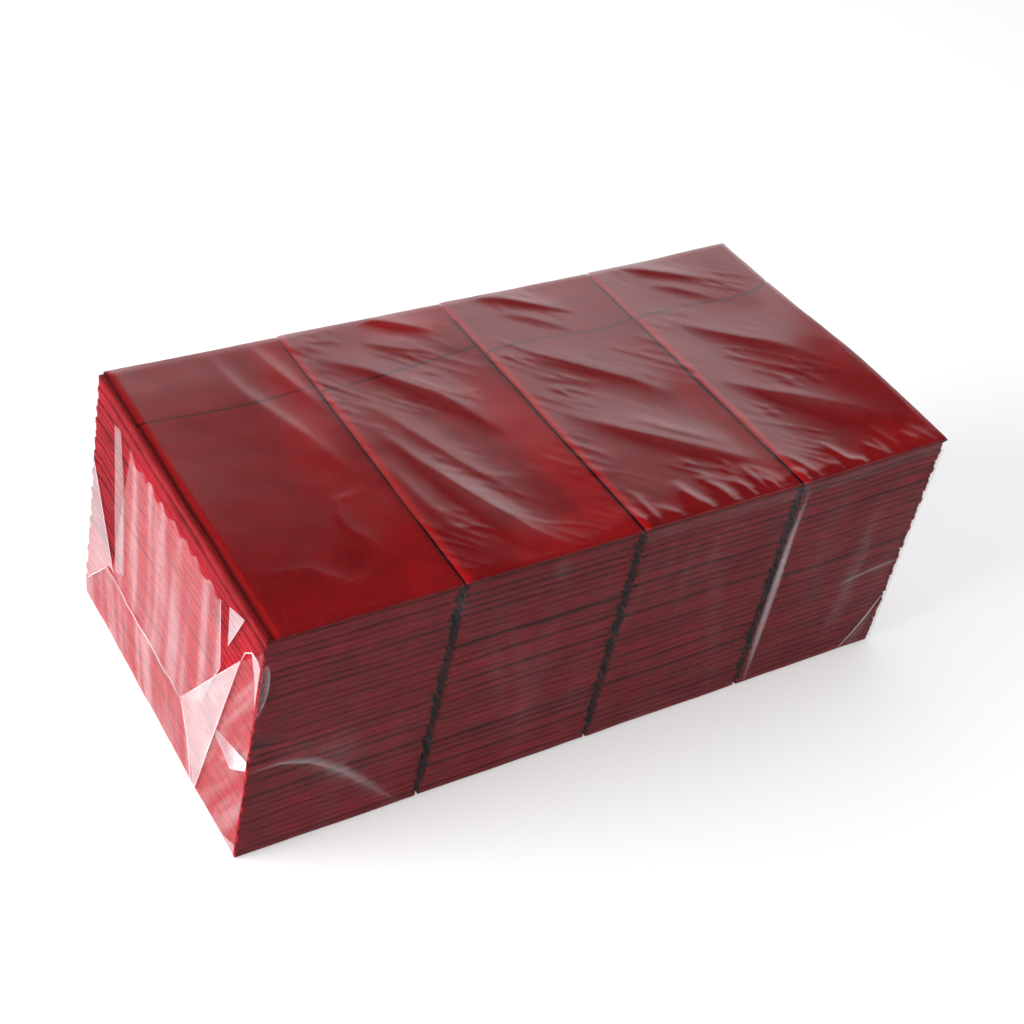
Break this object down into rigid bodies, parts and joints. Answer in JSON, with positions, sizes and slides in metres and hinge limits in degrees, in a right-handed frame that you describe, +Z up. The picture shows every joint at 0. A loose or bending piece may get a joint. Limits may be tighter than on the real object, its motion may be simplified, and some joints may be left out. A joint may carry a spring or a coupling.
{
  "type": "stack of cutlery pouch napkins",
  "caption": "Film-wrapped set of folded airlaid paper cutlery pouch napkins in stacks side by side, with the pouch mouths at the back.",
  "frame": {"origin": "middle of the pack's footprint, on the surface that it rests on", "axes": "+X along the row of stacks, +Y from the closed pouch bottoms to the pouch mouths, +Z up through the stacks"},
  "size_m": [0.4098, 0.2072, 0.1532],
  "materials": {
    "clear_film": "clear glossy packing film with a slight haze",
    "napkin_paper": "soft matt airlaid paper, deep red all through"
  },
  "bodies": {
    "root": {"film_wrap": "clear_film", "top_napkin_1": "napkin_paper", "top_napkin_2": "napkin_paper", "top_napkin_3": "napkin_paper", "top_napkin_4": "napkin_paper", "stack_1": "napkin_paper", "stack_2": "napkin_paper", "stack_3": "napkin_paper", "stack_4": "napkin_paper"}
  },
  "joints": []
}
